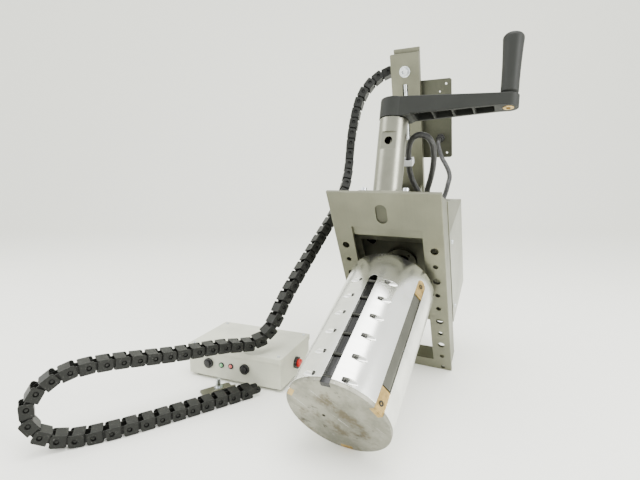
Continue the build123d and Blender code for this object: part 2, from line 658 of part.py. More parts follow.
def slot_bars(start, end, width, top, round_rear=False):
    """A flat-topped bar in each side slot from start to end, its top at that radius."""
    floor = DRUM_RADIUS - BLOCK_DEPTH
    straight = end - start - (width / 2 if round_rear else 0)
    with BuildPart() as bars:
        for angle in SIDE_SLOTS:
            with BuildSketch(outward(angle, start, floor)):
                with Locations((straight / 2, 0)):
                    Rectangle(straight, width)
                if round_rear:
                    with Locations((straight, 0)):
                        Circle(width / 2)
            extrude(amount=top - floor)
    return bars


# brass blocks at both ends of each side slot, the rear ones round, with a strip between
block_width, block_top, strip_top = SIDE_SLOT_WIDTH - 0.2, DRUM_RADIUS - 1.3, DRUM_RADIUS - 2.8
front_end, rear_start = DRUM_FRONT + BLOCK_LENGTH, SIDE_SLOT_REAR - BLOCK_LENGTH
front_blocks = slot_bars(DRUM_FRONT, front_end, block_width, block_top)
rear_blocks = slot_bars(rear_start, SIDE_SLOT_REAR - 0.1, block_width, block_top, round_rear=True)
slot_strips = slot_bars(front_end + 3, rear_start, block_width - 1, strip_top)
save_group("brass_blocks", (front_blocks, DRUM), (rear_blocks, DRUM))
save(slot_strips, "slot_strips", DRUM)

with BuildPart() as top_slot_strip:
    # a low dark strip under the cross screws with a raised end at the front
    last_screw, width = clamp_stations()[-1], TOP_SLOT_WIDTH - 0.4
    for start, end, out in (
        (DRUM_FRONT, last_screw - SCREW_R - 0.5, DRUM_RADIUS - 1),
        (last_screw - SCREW_R - 0.5, TOP_SLOT_REAR - TOP_SLOT_WIDTH / 2, DRUM_RADIUS - 6.5),
    ):
        with BuildSketch(facing(start)):
            with Locations((0, DRUM_HEIGHT + DRUM_RADIUS - BLOCK_DEPTH / 2)):
                Rectangle(width, BLOCK_DEPTH)
            with Locations((0, DRUM_HEIGHT)):
                Circle(out, mode=Mode.INTERSECT)
        extrude(amount=-(end - start))
    for y in clamp_stations():
        with BuildSketch(Plane.YZ.offset(-width)):
            with Locations((y, BORE_Z)):
                Circle(SCREW_R + 0.3)
        extrude(amount=2 * width, mode=Mode.SUBTRACT)
save(top_slot_strip, "top_slot_strip", DRUM)

with BuildPart() as block_screws:
    for angle in SIDE_SLOTS:
        for y in (DRUM_FRONT + 12, SIDE_SLOT_REAR - 11):
            with BuildSketch(outward(angle, y, block_top)):
                Circle(3.6)
                RegularPolygon(1.9, 6, mode=Mode.SUBTRACT)
            extrude(amount=0.7)
save_group("drum_screws", (block_screws, DRUM), (drive_screws, HEAD))

# ---------------------------------------------------------------- post (own axis is z)
with BuildPart() as post_front_bar:
    with BuildSketch(Plane.XZ):
        with Locations((0, POST_LENGTH / 2)):
            Rectangle(POST_WIDTH, POST_LENGTH)
        with Locations((0, POST_BOLT_Z)):
            Circle(5.1, mode=Mode.SUBTRACT)
        with Locations((-1, POST_BOLT_Z - 78)):
            Rectangle(10, 110, mode=Mode.SUBTRACT)
    extrude(amount=-BAR_THICK)
    chamfer(post_front_bar.edges().filter_by(Axis.Y), 1.2)
save(post_front_bar, "post_front_bar", POST)

REAR_BAR_Y = BAR_THICK + BAR_GAP
with BuildPart() as post_rear_bar:
    with BuildSketch(Plane.XZ.offset(-REAR_BAR_Y)):
        with Locations((1, (POST_LENGTH + 8) / 2)):
            Rectangle(POST_WIDTH - 6, POST_LENGTH + 8)
        with Locations((0, POST_BOLT_Z)):
            Circle(5.1, mode=Mode.SUBTRACT)
    extrude(amount=-BAR_THICK)
    chamfer(post_rear_bar.edges().filter_by(Axis.Y), 1.2)
save(post_rear_bar, "post_rear_bar", POST)

with BuildPart() as post_spacers:
    for z in (14, POST_LENGTH - 14):
        for x in (-16, 16):
            with BuildSketch(Plane.XZ.offset(-BAR_THICK)):
                with Locations((x, z)):
                    Circle(6)
            extrude(amount=-BAR_GAP)

SLOT_MIDDLE, SLOT_LONG = POST_BOLT_Z - 78, 110
with BuildPart() as height_rod:
    # adjusting rod that lies in the front bar's slot
    with BuildSketch(Plane.XY.offset(SLOT_MIDDLE - SLOT_LONG / 2 + 0.2)):
        with Locations((-1, 2.5)):
            Circle(3.8)
    extrude(amount=SLOT_LONG - 0.4)

with BuildPart() as post_bolt:
    with BuildSketch(Plane.XZ.offset(2)):
        with Locations((0, POST_BOLT_Z)):
            Circle(7.4)
    extrude(amount=8)
    fillet(post_bolt.faces().sort_by(Axis.Y)[0].edges(), 1)
    with BuildSketch(Plane.XZ.offset(10)):
        with Locations((0, POST_BOLT_Z)):
            RegularPolygon(4, 6)
    extrude(amount=-5, mode=Mode.SUBTRACT)
    with BuildSketch(Plane.XZ.offset(2)):
        with Locations((0, POST_BOLT_Z)):
            Circle(5)
    extrude(amount=-(REAR_BAR_Y + BAR_THICK + 2 + 9))
save(post_bolt, "post_bolt", POST)

with BuildPart() as post_washer:
    with BuildSketch(Plane.XZ):
        with Locations((0, POST_BOLT_Z)):
            Circle(10.5)
            Circle(5, mode=Mode.SUBTRACT)
    extrude(amount=2)

with BuildPart() as post_nut:
    with BuildSketch(Plane.XZ.offset(-(REAR_BAR_Y + BAR_THICK))):
        with Locations((0, POST_BOLT_Z)):
            RegularPolygon(9, 6)
            Circle(5, mode=Mode.SUBTRACT)
    extrude(amount=-7)
save_group("post_hardware", *((piece, POST) for piece in (post_spacers, post_washer, post_nut, height_rod)))

CARRIER_LOW, CARRIER_HIGH = 120, 240
with BuildPart() as post_carrier:
    left, right = POST_FOOT[0] - 24, POST_FOOT[0] + 24
    with Locations(((left + right) / 2, HOUSING_BACK + 2.5, (CARRIER_LOW + CARRIER_HIGH) / 2)):
        Box(POST_WIDTH, 5, CARRIER_HIGH - CARRIER_LOW)
    lean_back = tan(radians(POST_TILT))
    for x in (left - 2, right - 2):
        with BuildSketch(Plane.YZ.offset(x)):
            with BuildLine():
                Polyline(
                    (HOUSING_BACK + 5, CARRIER_LOW),
                    (POST_FOOT[1] + (CARRIER_LOW - POST_FOOT[2]) * lean_back, CARRIER_LOW),
                    (POST_FOOT[1] + (CARRIER_HIGH - POST_FOOT[2]) * lean_back, CARRIER_HIGH),
                    (HOUSING_BACK + 5, CARRIER_HIGH),
                    close=True,
                )
            make_face()
        extrude(amount=4)
    with Locations(Location((0, HOUSING_BACK + 2, DRUM_HEIGHT), (90, 0, 0))):
        Cylinder(38, 30, mode=Mode.SUBTRACT)
save(post_carrier, "post_carrier")

PLATE_Y, GLAND_X, GLAND_Z = REAR_BAR_Y + BAR_THICK, 62, 226
with BuildPart() as sensor_plate:
    with BuildSketch(Plane.XZ.offset(-PLATE_Y)):
        with Locations((29, 263)):
            Rectangle(110, 155)
        with Locations((61.8, 317), (61.5, 308)):
            Circle(1.8, mode=Mode.SUBTRACT)
        with Locations((GLAND_X, GLAND_Z)):
            Circle(5.5, mode=Mode.SUBTRACT)
        with Locations((74, 331), (74, 195)):
            Circle(2.2, mode=Mode.SUBTRACT)
    extrude(amount=-3)
    chamfer(sensor_plate.edges().filter_by(Axis.Y).sort_by(Axis.X)[-4:], 3)
save(sensor_plate, "sensor_plate", POST)

GLAND_NOSE = 5                       # how far behind the post's face the gland's nose ends
with BuildPart() as cable_gland:
    for start, length, radius in ((PLATE_Y + 3, 3, 5.5), (PLATE_Y, PLATE_Y - GLAND_NOSE, 6.5)):
        with BuildSketch(Plane.XZ.offset(-start)):
            with Locations((GLAND_X, GLAND_Z)):
                Circle(radius)
        extrude(amount=length)
    for start, length in ((PLATE_Y, 5), (PLATE_Y + 3, -5)):
        with BuildSketch(Plane.XZ.offset(-start)):
            with Locations((GLAND_X, GLAND_Z)):
                RegularPolygon(9, 6)
        extrude(amount=length)

# ---------------------------------------------------------------- cables behind the tube
LOOP_CABLE_R, GLAND_CABLE_R, GROMMET_RISE = 4.9, 4.4, 7.5
LOOP_ROUTE = [
    (27, 110, 313.85), (27, 110, 322), (20, 110, 337), (15.5, 110, 356), (15, 110, 376), (16.2, 110, 394),
    (19.5, 110, 409.5), (26.8, 110, 420.5), (38, 110, 424.5), (49.3, 110, 420.5), (56, 110, 409.5),
    (57.5, 110, 394), (56, 110, 376), (52, 110, 356), (46.5, 110, 338), (41.5, 110, 324), (41.5, 110, 313.85),
]
GLAND_ROUTE = [
    (26.4, 301.98, 332.08), (26.4, 293.2, 333.56), (27, 286, 330), (30, 280, 319), (36, 270, 307),
    (46, 256, 299), (55, 238, 293), (59.5, 220, 289), (58.8, 205, 286), (57, 198.5, 276.5),
    (53.5, 191, 265.5), (50, 181, 257), (50, 171.05, 257),
]


def cable(route, radius, label):
    """A round cable along straight runs joined by arcs as large as the runs allow."""
    points = [Vector(*point) for point in route]
    radii = []
    for before, corner, after in zip(points, points[1:], points[2:]):
        one, two = corner - before, after - corner
        shorter = min(one.length, two.length)
        radii.append(0.45 * shorter / tan(radians(one.get_angle(two) / 2)))
    print(label, "bend radii", [round(r, 1) for r in radii])
    with BuildPart() as tube:
        with BuildLine() as path:
            FilletPolyline(*points, radius=radii)
        spine = path.wires()[0]
        with BuildSketch(Plane(origin=spine @ 0, z_dir=spine % 0)):
            Circle(radius)
        sweep(path=spine)
    print(label, "length", round(spine.length, 1), "volume ratio",
          round(tube.part.volume / (pi * radius ** 2 * spine.length), 3))
    save(tube, label)


cable(LOOP_ROUTE, LOOP_CABLE_R, "loop_cable")
cable(GLAND_ROUTE, GLAND_CABLE_R, "gland_cable")

with BuildPart() as cable_grommets:
    for x, y in TOP_GROMMETS:
        with BuildSketch(Plane.XY.offset(slope_z(y) - 7)):
            with Locations((x, y)):
                Circle(GROMMET_RADIUS)
        extrude(amount=7 + GROMMET_RISE)
    with BuildSketch(facing(HOUSING_BACK - 5)):
        with Locations(BACK_GROMMET):
            Circle(GROMMET_RADIUS)
    extrude(amount=-11)
save_group("cable_glands", (cable_gland, POST), (cable_grommets, HEAD))

with BuildPart() as cable_tag:
    with BuildSketch(Plane.XY.offset(373)):
        with Locations((15.4, 110)):
            Rectangle(15, 13.5)
            Circle(LOOP_CABLE_R + 0.9, mode=Mode.SUBTRACT)
    extrude(amount=10)
save(cable_tag, "cable_tag")

# ---------------------------------------------------------------- cable chain
CHAIN_ROUTE = [
    (-58.1, 103.1, 574.4), (-96, 97, 565), (-125, 80, 532), (-138, 66, 482), (-142, 53, 428), (-141, 38, 374),
    (-142, 4, 316), (-160, -52, 246), (-176, -120, 178), (-186, -165, 128), (-193, -189, 96),
    (-207, -208, 80), (-232, -243, 82), (-262, -297, 88), (-300, -365, 96), (-330, -425, 104),
    (-352, -466, 98), (-367, -493, 66), (-361, -487, 30), (-341, -459, 11), (-315, -430, 9),
    (-278, -376, 9), (-246, -322, 9), (-216, -270, 9), (-190, -226, 9),
]
TWIST_LINKS, TWIST = 26, 60
PLATE_OUT, TONGUE_OUT, CHEEK = 9.8, 6.1, 1.9
PIN_RADIUS, PIN_BORE = 2.1, 3.6       # loose, so that the links can also bend sideways a little
CHAIN_GROUPS = ("chain_upper_arc", "chain_drop", "chain_outer_run", "chain_loop", "chain_ground_run")

COVER_THICK, COVER_REAR, COVER_FRONT, TONGUE_HALF = 1.1, -3, 12, 5.6

with BuildPart() as link:
    height = CHAIN_HEIGHT
    for side in (-1, 1):
        # outer plates with the bores of the rear pivot
        with BuildSketch(Plane.XZ.offset(-side * PLATE_OUT)):
            with Locations((1.7, 0)):
                RectangleRounded(19, height, 3.2)
            with Locations((8.7, 0)):
                Rectangle(5, height)
            Circle(PIN_BORE, mode=Mode.SUBTRACT)
        extrude(amount=-side * CHEEK)
        # inner tongue with the pin of the front pivot
        with BuildSketch(Plane.XZ.offset(-side * TONGUE_OUT)):
            with Locations((CHAIN_PITCH, 0)):
                Circle(TONGUE_HALF)
            with Locations(((CHAIN_PITCH + 8.9) / 2, 0)):
                Rectangle(CHAIN_PITCH - 8.9, 2 * TONGUE_HALF)
        extrude(amount=-side * CHEEK)
        with BuildSketch(Plane.XZ.offset(-side * (TONGUE_OUT + CHEEK))):
            with Locations((CHAIN_PITCH, 0)):
                Circle(PIN_RADIUS)
        extrude(amount=-side * 2.4)
        with Locations((9.95, side * (TONGUE_OUT + PLATE_OUT + CHEEK) / 2, 0)):
            Box(2.1, PLATE_OUT + CHEEK - TONGUE_OUT, height)
    for z in (-1, 1):
        with Locations(((COVER_REAR + COVER_FRONT) / 2, 0, z * (height - COVER_THICK) / 2)):
            Box(COVER_FRONT - COVER_REAR, 2 * PLATE_OUT, COVER_THICK)

route = Spline(*CHAIN_ROUTE)
pivots, place = [route.position_at(0)], 0.0
while True:
    low, high = place, min(1.0, place + 3 * CHAIN_PITCH / route.length)
    if (route.position_at(high) - pivots[-1]).length < CHAIN_PITCH:
        break
    for _ in range(40):
        half = (low + high) / 2
        if (route.position_at(half) - pivots[-1]).length < CHAIN_PITCH:
            low = half
        else:
            high = half
    place = high
    pivots.append(route.position_at(place))
link_places = []
for index, (one, two) in enumerate(zip(pivots, pivots[1:])):
    turn = radians(TWIST * min(1, index / TWIST_LINKS))
    along = (two - one).normalized()
    across = Vector(sin(turn), -cos(turn), 0)
    across = (across - along * across.dot(along)).normalized()
    link_places.append(Plane(origin=one, x_dir=along, z_dir=along.cross(across)).location)
print("chain links", len(link_places), "last pivot", pivots[-1])
count = len(link_places)
for group, name in enumerate(CHAIN_GROUPS):
    chosen = link_places[group * count // 5:(group + 1) * count // 5]
    links = Compound([link.part.solid().moved(GROUND * place) for place in chosen])
    links.label = name
    export_step(links, f"parts/{name}.step")

with BuildPart() as chain_bracket_upper:
    # folded sheet on the post's back: foot, web and a tongue that reaches into the first link
    back, far = PLATE_Y, PLATE_Y + 20.6
    with Locations((-18.9, back + 1.25, POST_BOLT_Z)):
        Box(18.2, 2.5, 30)
    with Locations((-11.05, (back + far) / 2, POST_BOLT_Z)):
        Box(2.5, far - back, 16)
    with Locations((-19.9, far - 1.25, POST_BOLT_Z)):
        Box(20.2, 2.5, 10)
    with BuildSketch(Plane.XZ.offset(-back)):
        with Locations((-22, POST_BOLT_Z - 10), (-22, POST_BOLT_Z + 10)):
            Circle(2.1)
    extrude(amount=-2.5, mode=Mode.SUBTRACT)

with BuildPart() as bracket_screws:
    for z in (POST_BOLT_Z - 10, POST_BOLT_Z + 10):
        for start, length, radius in ((PLATE_Y + 2.5, 2.2, 3.4), (PLATE_Y, 2.5, 2.1)):
            with BuildSketch(Plane.XZ.offset(-start)):
                with Locations((-22, z)):
                    Circle(radius)
            extrude(amount=-length)

LOWER_BRACKET = GROUND * Location((-249.5, -258.5, 0), (0, 0, 60))
with BuildPart() as chain_bracket_lower:
    # foot plate on the table with an ear along the chain's side
    with BuildSketch():
        RectangleRounded(52, 44, 4)
        with Locations((2, 6)):
            Circle(4.1, mode=Mode.SUBTRACT)
    extrude(amount=3)
    with Locations((2, -20.5, 9)):
        Box(40, 3, 18)
save_group("chain_brackets", (chain_bracket_upper, POST), (chain_bracket_lower, LOWER_BRACKET))

with BuildPart() as ground_bolt:
    with BuildSketch(Plane.XY.offset(3)):
        with Locations((2, 6)):
            RegularPolygon(7.5, 6)
    extrude(amount=6)
    with BuildSketch(Plane.XY.offset(9)):
        with Locations((2, 6)):
            Circle(4)
    extrude(amount=14)
save(ground_bolt, "ground_bolt", LOWER_BRACKET)

# ---------------------------------------------------------------- control box
WALL, LID_LOW, LID_OVER = 2, 50, 1.6
BUTTONS = ((44, 30), (118.6, 31))
LAMPS = ((70.7, 30), (90, 31))
RED_Y, RED_Z = 60, 29

with BuildPart() as box_base:
    with Locations((BOX_WIDTH / 2, BOX_DEPTH / 2, (BOX_FEET + BOX_HEIGHT - 2) / 2)):
        Box(BOX_WIDTH, BOX_DEPTH, BOX_HEIGHT - 2 - BOX_FEET)
    fillet(box_base.edges().filter_by(Axis.Z), 2.5)
    offset(amount=-WALL, openings=box_base.faces().sort_by(Axis.Z)[-1])
    with BuildSketch(Plane.XZ):
        with Locations(*BUTTONS):
            Circle(6)
        with Locations(*LAMPS):
            Circle(3.2)
    extrude(amount=-WALL, mode=Mode.SUBTRACT)
    with BuildSketch(Plane.YZ.offset(BOX_WIDTH)):
        with Locations((RED_Y, RED_Z)):
            Circle(7)
    extrude(amount=-WALL, mode=Mode.SUBTRACT)
save(box_base, "box_base", BOX)

with BuildPart() as box_lid:
    width, depth = BOX_WIDTH + 2 * LID_OVER, BOX_DEPTH + 2 * LID_OVER
    with Locations((BOX_WIDTH / 2, BOX_DEPTH / 2, (LID_LOW + BOX_HEIGHT) / 2)):
        Box(width, depth, BOX_HEIGHT - LID_LOW)
    fillet(box_lid.edges().filter_by(Axis.Z), 3)
    fillet(box_lid.faces().sort_by(Axis.Z)[-1].edges(), 1.2)
    with Locations((BOX_WIDTH / 2, BOX_DEPTH / 2, (LID_LOW + BOX_HEIGHT - 2) / 2)):
        Box(BOX_WIDTH, BOX_DEPTH, BOX_HEIGHT - 2 - LID_LOW, mode=Mode.SUBTRACT)
save(box_lid, "box_lid", BOX)

with BuildPart() as lid_screws:
    with BuildSketch(Plane.XY.offset(BOX_HEIGHT)):
        with Locations((BOX_WIDTH / 2, BOX_DEPTH / 2)):
            with GridLocations(BOX_WIDTH - 16, BOX_DEPTH - 16, 2, 2):
                Circle(3)
    extrude(amount=1.6, taper=20)
save_group(
    "cover_screws", (panel_screws, HEAD), (flange_screws, TUBE), (bracket_screws, POST), (lid_screws, BOX)
)

with BuildPart() as box_feet:
    with BuildSketch():
        with Locations((BOX_WIDTH / 2, BOX_DEPTH / 2)):
            with GridLocations(BOX_WIDTH - 30, BOX_DEPTH - 30, 2, 2):
                Circle(8)
    extrude(amount=BOX_FEET)
save(box_feet, "box_feet", BOX)

with BuildPart() as button_collars:
    with BuildSketch(Plane.XZ):
        with Locations(*BUTTONS):
            Circle(9)
            Circle(6.3, mode=Mode.SUBTRACT)
    extrude(amount=4)
    with BuildSketch(Plane.YZ.offset(BOX_WIDTH)):
        with Locations((RED_Y, RED_Z)):
            Circle(10.5)
            Circle(7.8, mode=Mode.SUBTRACT)
    extrude(amount=5)

with BuildPart() as button_switches:
    for x, z in BUTTONS:
        with Locations((x, WALL + 4 + 9, z)):
            Box(17, 18, 17)
    with Locations((BOX_WIDTH - WALL - 6 - 10, RED_Y, RED_Z)):
        Box(20, 20, 20)
save(button_switches, "button_switches", BOX)

for label, (x, z) in zip(("push_button_left", "push_button_right"), BUTTONS):
    with BuildPart() as push_button:
        with BuildSketch(Plane.XZ.offset(-WALL)):
            with Locations((x, z)):
                Circle(5.7)
        extrude(amount=WALL + 7)
        fillet(push_button.faces().sort_by(Axis.Y)[0].edges(), 1.5)
    save(push_button, label, BOX)

with BuildPart() as red_button:
    with BuildSketch(Plane.YZ.offset(BOX_WIDTH - WALL)):
        with Locations((RED_Y, RED_Z)):
            Circle(6.7)
    extrude(amount=WALL + 6)
    with BuildSketch(Plane.YZ.offset(BOX_WIDTH + 6)):
        with Locations((RED_Y, RED_Z)):
            Circle(7.4)
    extrude(amount=5)
    fillet(red_button.faces().sort_by(Axis.X)[-1].edges(), 2)
save(red_button, "red_button", BOX)

for label, (x, z) in zip(("green_lamp", "red_lamp"), LAMPS):
    with BuildPart() as lamp:
        with BuildSketch(Plane.XZ.offset(-WALL - 6)):
            with Locations((x, z)):
                Circle(3.2)
        extrude(amount=WALL + 7)
        with BuildSketch(Plane.XZ.offset(1)):
            with Locations((x, z)):
                Circle(3.2)
        extrude(amount=2.6)
        fillet(lamp.faces().sort_by(Axis.Y)[0].edges(), 2.4)
    save(lamp, label, BOX)

with BuildPart() as lamp_bezels:
    with BuildSketch(Plane.XZ):
        with Locations(*LAMPS):
            Circle(5)
            Circle(3.2, mode=Mode.SUBTRACT)
    extrude(amount=1.6)
save_group("panel_collars", (button_collars, BOX), (lamp_bezels, BOX))

with BuildPart() as control_board:
    with Locations((BOX_WIDTH / 2 - 8, 78, 14)):
        Box(120, 66, 1.6)
    with Locations((50, 90, 20), (90, 70, 19), (120, 92, 21)):
        Box(22, 14, 12)
    with Locations((BOX_WIDTH / 2 - 8, 78, (BOX_FEET + WALL + 14) / 2)):
        with GridLocations(108, 54, 2, 2):
            Cylinder(3, 14 - BOX_FEET - WALL)
save(control_board, "control_board", BOX)
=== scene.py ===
"""Looks of the slotted drum head: camera, light, finishes and the pieces that CAD leaves plain."""
import json
from math import cos, pi, radians, sin

import bmesh
import bpy
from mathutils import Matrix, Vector


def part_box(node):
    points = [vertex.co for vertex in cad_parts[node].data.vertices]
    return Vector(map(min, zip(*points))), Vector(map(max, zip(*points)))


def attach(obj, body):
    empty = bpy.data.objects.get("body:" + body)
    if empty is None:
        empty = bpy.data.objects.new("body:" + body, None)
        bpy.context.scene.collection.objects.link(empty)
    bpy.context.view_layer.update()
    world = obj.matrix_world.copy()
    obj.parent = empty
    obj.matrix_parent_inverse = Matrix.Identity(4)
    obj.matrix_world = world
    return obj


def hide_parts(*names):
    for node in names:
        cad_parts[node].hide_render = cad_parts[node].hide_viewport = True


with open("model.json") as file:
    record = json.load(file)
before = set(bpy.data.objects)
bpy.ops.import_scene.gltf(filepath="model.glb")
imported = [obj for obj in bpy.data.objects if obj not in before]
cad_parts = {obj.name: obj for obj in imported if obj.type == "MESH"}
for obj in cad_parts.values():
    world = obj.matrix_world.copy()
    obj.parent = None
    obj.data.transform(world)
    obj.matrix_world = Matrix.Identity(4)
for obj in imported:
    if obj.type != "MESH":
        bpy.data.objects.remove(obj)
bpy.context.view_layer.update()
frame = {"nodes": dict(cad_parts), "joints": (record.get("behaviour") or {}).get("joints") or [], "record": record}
NODES = frame["nodes"]

# ---------------------------------------------------------------- the head's own frame
JOINTS = {joint["name"]: joint for joint in frame["joints"]}
BACK = -Vector(JOINTS["drum_spin"]["axis"]).normalized()      # back along the drum, head y
LEAN = BACK.angle(Vector((0, 1, 0)))
PLATE_LOW, PLATE_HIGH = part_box("front_plate")
PLATE_THICK = 0.005
PLATE_FOOT = Vector(((PLATE_LOW.x + PLATE_HIGH.x) / 2, PLATE_HIGH.y - PLATE_THICK * BACK.y, PLATE_LOW.z))


# ---------------------------------------------------------------- camera
CAMERA_PLACE = Vector((0.30035, -0.61973, 0.3644))
CAMERA_AIM = Vector((-0.4401, 0.8847, -0.1534))
CAMERA_LENS = 23.63


def make_camera():
    """The camera at the usual viewing angle, a little above and to the right."""
    data = bpy.data.cameras.new("camera")
    data.lens = CAMERA_LENS
    data.sensor_width = 36
    data.clip_start = 0.01
    camera = bpy.data.objects.new("camera", data)
    bpy.context.scene.collection.objects.link(camera)
    camera.location = CAMERA_PLACE
    camera.rotation_euler = CAMERA_AIM.to_track_quat("-Z", "Y").to_euler()
    bpy.context.scene.camera = camera


make_camera()


# ---------------------------------------------------------------- floor and light
def make_floor():
    """A pale floor that rises into a backdrop far behind, as one smooth sheet."""
    mesh = bpy.data.meshes.new("floor")
    build = bmesh.new()
    profile = [(-4.0, 0.0), (2.0, 0.0)]
    radius, steps = 1.2, 16
    for step in range(1, steps + 1):
        turn = pi / 2 * step / steps
        profile.append((2.0 + radius * sin(turn), radius * (1 - cos(turn))))
    profile.append((2.0 + radius, 5.0))
    rows = []
    for x in (-6.0, 6.0):
        rows.append([build.verts.new((x, y, z)) for y, z in profile])
    for index in range(len(profile) - 1):
        build.faces.new((rows[0][index], rows[1][index], rows[1][index + 1], rows[0][index + 1]))
    build.to_mesh(mesh)
    build.free()
    mesh.polygons.foreach_set("use_smooth", [True] * len(mesh.polygons))
    floor = bpy.data.objects.new("floor", mesh)
    bpy.context.scene.collection.objects.link(floor)
    floor.rotation_euler = (0, 0, radians(26))
    floor.location = (0, 0, -0.0005)
    material = bpy.data.materials.new("floor_paper")
    material.use_nodes = True
    shader = material.node_tree.nodes["Principled BSDF"]
    shader.inputs["Base Color"].default_value = (0.93, 0.93, 0.865, 1)
    shader.inputs["Roughness"].default_value = 0.65
    mesh.materials.append(material)


def make_light(name, place, aim, size, power, colour=(1, 1, 1)):
    """One soft rectangular lamp that points at aim."""
    data = bpy.data.lights.new(name, "AREA")
    data.shape = "RECTANGLE"
    data.size, data.size_y = size
    data.energy = power
    data.color = colour
    lamp = bpy.data.objects.new(name, data)
    bpy.context.scene.collection.objects.link(lamp)
    lamp.location = place
    lamp.rotation_euler = (Vector(aim) - Vector(place)).to_track_quat("-Z", "Y").to_euler()


def make_lights():
    """A pale room, a large lamp above and one at each side."""
    world = bpy.data.worlds.new("studio")
    bpy.context.scene.world = world
    world.use_nodes = True
    background = world.node_tree.nodes["Background"]
    background.inputs["Color"].default_value = (0.97, 0.985, 0.96, 1)
    background.inputs["Strength"].default_value = 1.9
    aim = (0.0, 0.0, 0.2)
    make_light("top_lamp", (0.1, -0.2, 1.9), aim, (1.6, 1.2), 42)
    make_light("left_lamp", (-1.6, -0.7, 1.1), aim, (1.0, 1.4), 20)
    make_light("right_lamp", (1.7, -0.3, 0.9), aim, (0.7, 1.4), 42)


make_floor()
make_lights()


# ---------------------------------------------------------------- finishes
class Finish:
    """A material being made: its shader, and the nodes that most finishes share."""

    def __init__(self, name, colour, metallic=0.0, roughness=0.5, bevel=0.0):
        self.material = bpy.data.materials.new(name)
        self.material.use_nodes = True
        self.tree = self.material.node_tree
        self.shader = self.tree.nodes["Principled BSDF"]
        self.shader.inputs["Metallic"].default_value = metallic
        self.shader.inputs["Roughness"].default_value = roughness
        self.shader.inputs["Base Color"].default_value = (*colour, 1)
        self.colour = colour
        self.coordinates = self.node("ShaderNodeTexCoord").outputs["Object"]
        self.normal = None
        if bevel:
            rounded = self.node("ShaderNodeBevel", samples=4)
            rounded.inputs["Radius"].default_value = bevel
            self.normal = rounded.outputs["Normal"]
            self.link(self.normal, self.shader.inputs["Normal"])

    def node(self, kind, **settings):
        made = self.tree.nodes.new(kind)
        for key, value in settings.items():
            setattr(made, key, value)
        return made

    def link(self, source, target):
        self.tree.links.new(source, target)

    def placed(self, turn=(0, 0, 0), scale=(1, 1, 1), offset=(0, 0, 0)):
        """Coordinates moved by -offset, turned by turn and then stretched by scale."""
        moved = self.node("ShaderNodeMapping")
        moved.inputs["Location"].default_value = [-value for value in offset]
        self.link(self.coordinates, moved.inputs["Vector"])
        turned = self.node("ShaderNodeMapping")
        turned.inputs["Rotation"].default_value = turn
        self.link(moved.outputs["Vector"], turned.inputs["Vector"])
        stretched = self.node("ShaderNodeMapping")
        stretched.inputs["Scale"].default_value = scale
        self.link(turned.outputs["Vector"], stretched.inputs["Vector"])
        return stretched.outputs["Vector"]

    def noise(self, vector, scale, detail=4.0, roughness=0.55):
        made = self.node("ShaderNodeTexNoise")
        made.inputs["Scale"].default_value = scale
        made.inputs["Detail"].default_value = detail
        made.inputs["Roughness"].default_value = roughness
        self.link(vector, made.inputs["Vector"])
        return made.outputs["Fac"]

    def spread(self, value, low, high, to_low=0.0, to_high=1.0):
        """value from low..high mapped onto to_low..to_high, held at the ends."""
        made = self.node("ShaderNodeMapRange")
        for key, number in (("From Min", low), ("From Max", high), ("To Min", to_low), ("To Max", to_high)):
            made.inputs[key].default_value = number
        self.link(value, made.inputs["Value"])
        return made.outputs["Result"]

    def math(self, operation, first, second):
        made = self.node("ShaderNodeMath", operation=operation)
        for socket, value in zip(made.inputs, (first, second)):
            if isinstance(value, (int, float)):
                socket.default_value = value
            else:
                self.link(value, socket)
        return made.outputs["Value"]

    def mix(self, factor, first, second):
        """Colours mixed by factor; each is a socket or an rgb tuple."""
        made = self.node("ShaderNodeMix", data_type="RGBA")
        self.link(factor, made.inputs["Factor"])
        for socket, value in ((made.inputs[6], first), (made.inputs[7], second)):
            if isinstance(value, tuple):
                socket.default_value = (*value, 1)
            else:
                self.link(value, socket)
        return made.outputs[2]

    def tint(self, factor, colour):
        """Lays another colour over the base where factor is high."""
        socket = self.shader.inputs["Base Color"]
        base = socket.links[0].from_socket if socket.is_linked else self.colour
        self.link(self.mix(factor, base, colour), socket)

    def shine(self, factor, low, high):
        """Roughness from low to high as factor goes from 0 to 1."""
        self.link(self.spread(factor, 0, 1, low, high), self.shader.inputs["Roughness"])

    def bump(self, height, distance, strength=1.0):
        """Adds a bump on what is there already; distance is in metres."""
        made = self.node("ShaderNodeBump")
        made.inputs["Strength"].default_value = strength
        made.inputs["Distance"].default_value = distance
        self.link(height, made.inputs["Height"])
        if self.normal:
            self.link(self.normal, made.inputs["Normal"])
        self.normal = made.outputs["Normal"]
        self.link(self.normal, self.shader.inputs["Normal"])


TO_HEAD = (-LEAN, 0, 0)
WEAVE_THREADS = 10


def sheet_steel(name, colour, turn, blotch, roughness):
    """Blasted stainless sheet: fine grain, faint drawn lines, handling smudges and scratches."""
    made = Finish(name, colour, metallic=1.0, roughness=roughness, bevel=0.0005)
    lines = made.noise(made.placed(turn, (900, 900, 14)), 1.0, 3)
    smudge = made.noise(made.placed(turn, (1, 1, 1)), 14, 5)
    fine = made.noise(made.placed(turn, (1, 1, 1)), 1800, 2)
    scratch = made.noise(made.placed((turn[0], 0.5, 0.3), (420, 420, 9)), 1.0, 2)
    marks = made.spread(scratch, 0.70, 0.76)
    dark = tuple(value * blotch for value in colour)
    made.tint(made.spread(smudge, 0.38, 0.72), dark)
    made.tint(made.spread(lines, 0.45, 0.85, 0, 0.25), tuple(value * 1.12 for value in colour))
    made.tint(made.math("MULTIPLY", marks, 0.35), tuple(min(1, value * 1.3) for value in colour))
    made.shine(smudge, roughness - 0.10, roughness + 0.14)
    made.bump(fine, 0.00002, 0.35)
    made.bump(lines, 0.00002, 0.3)
    return made.material


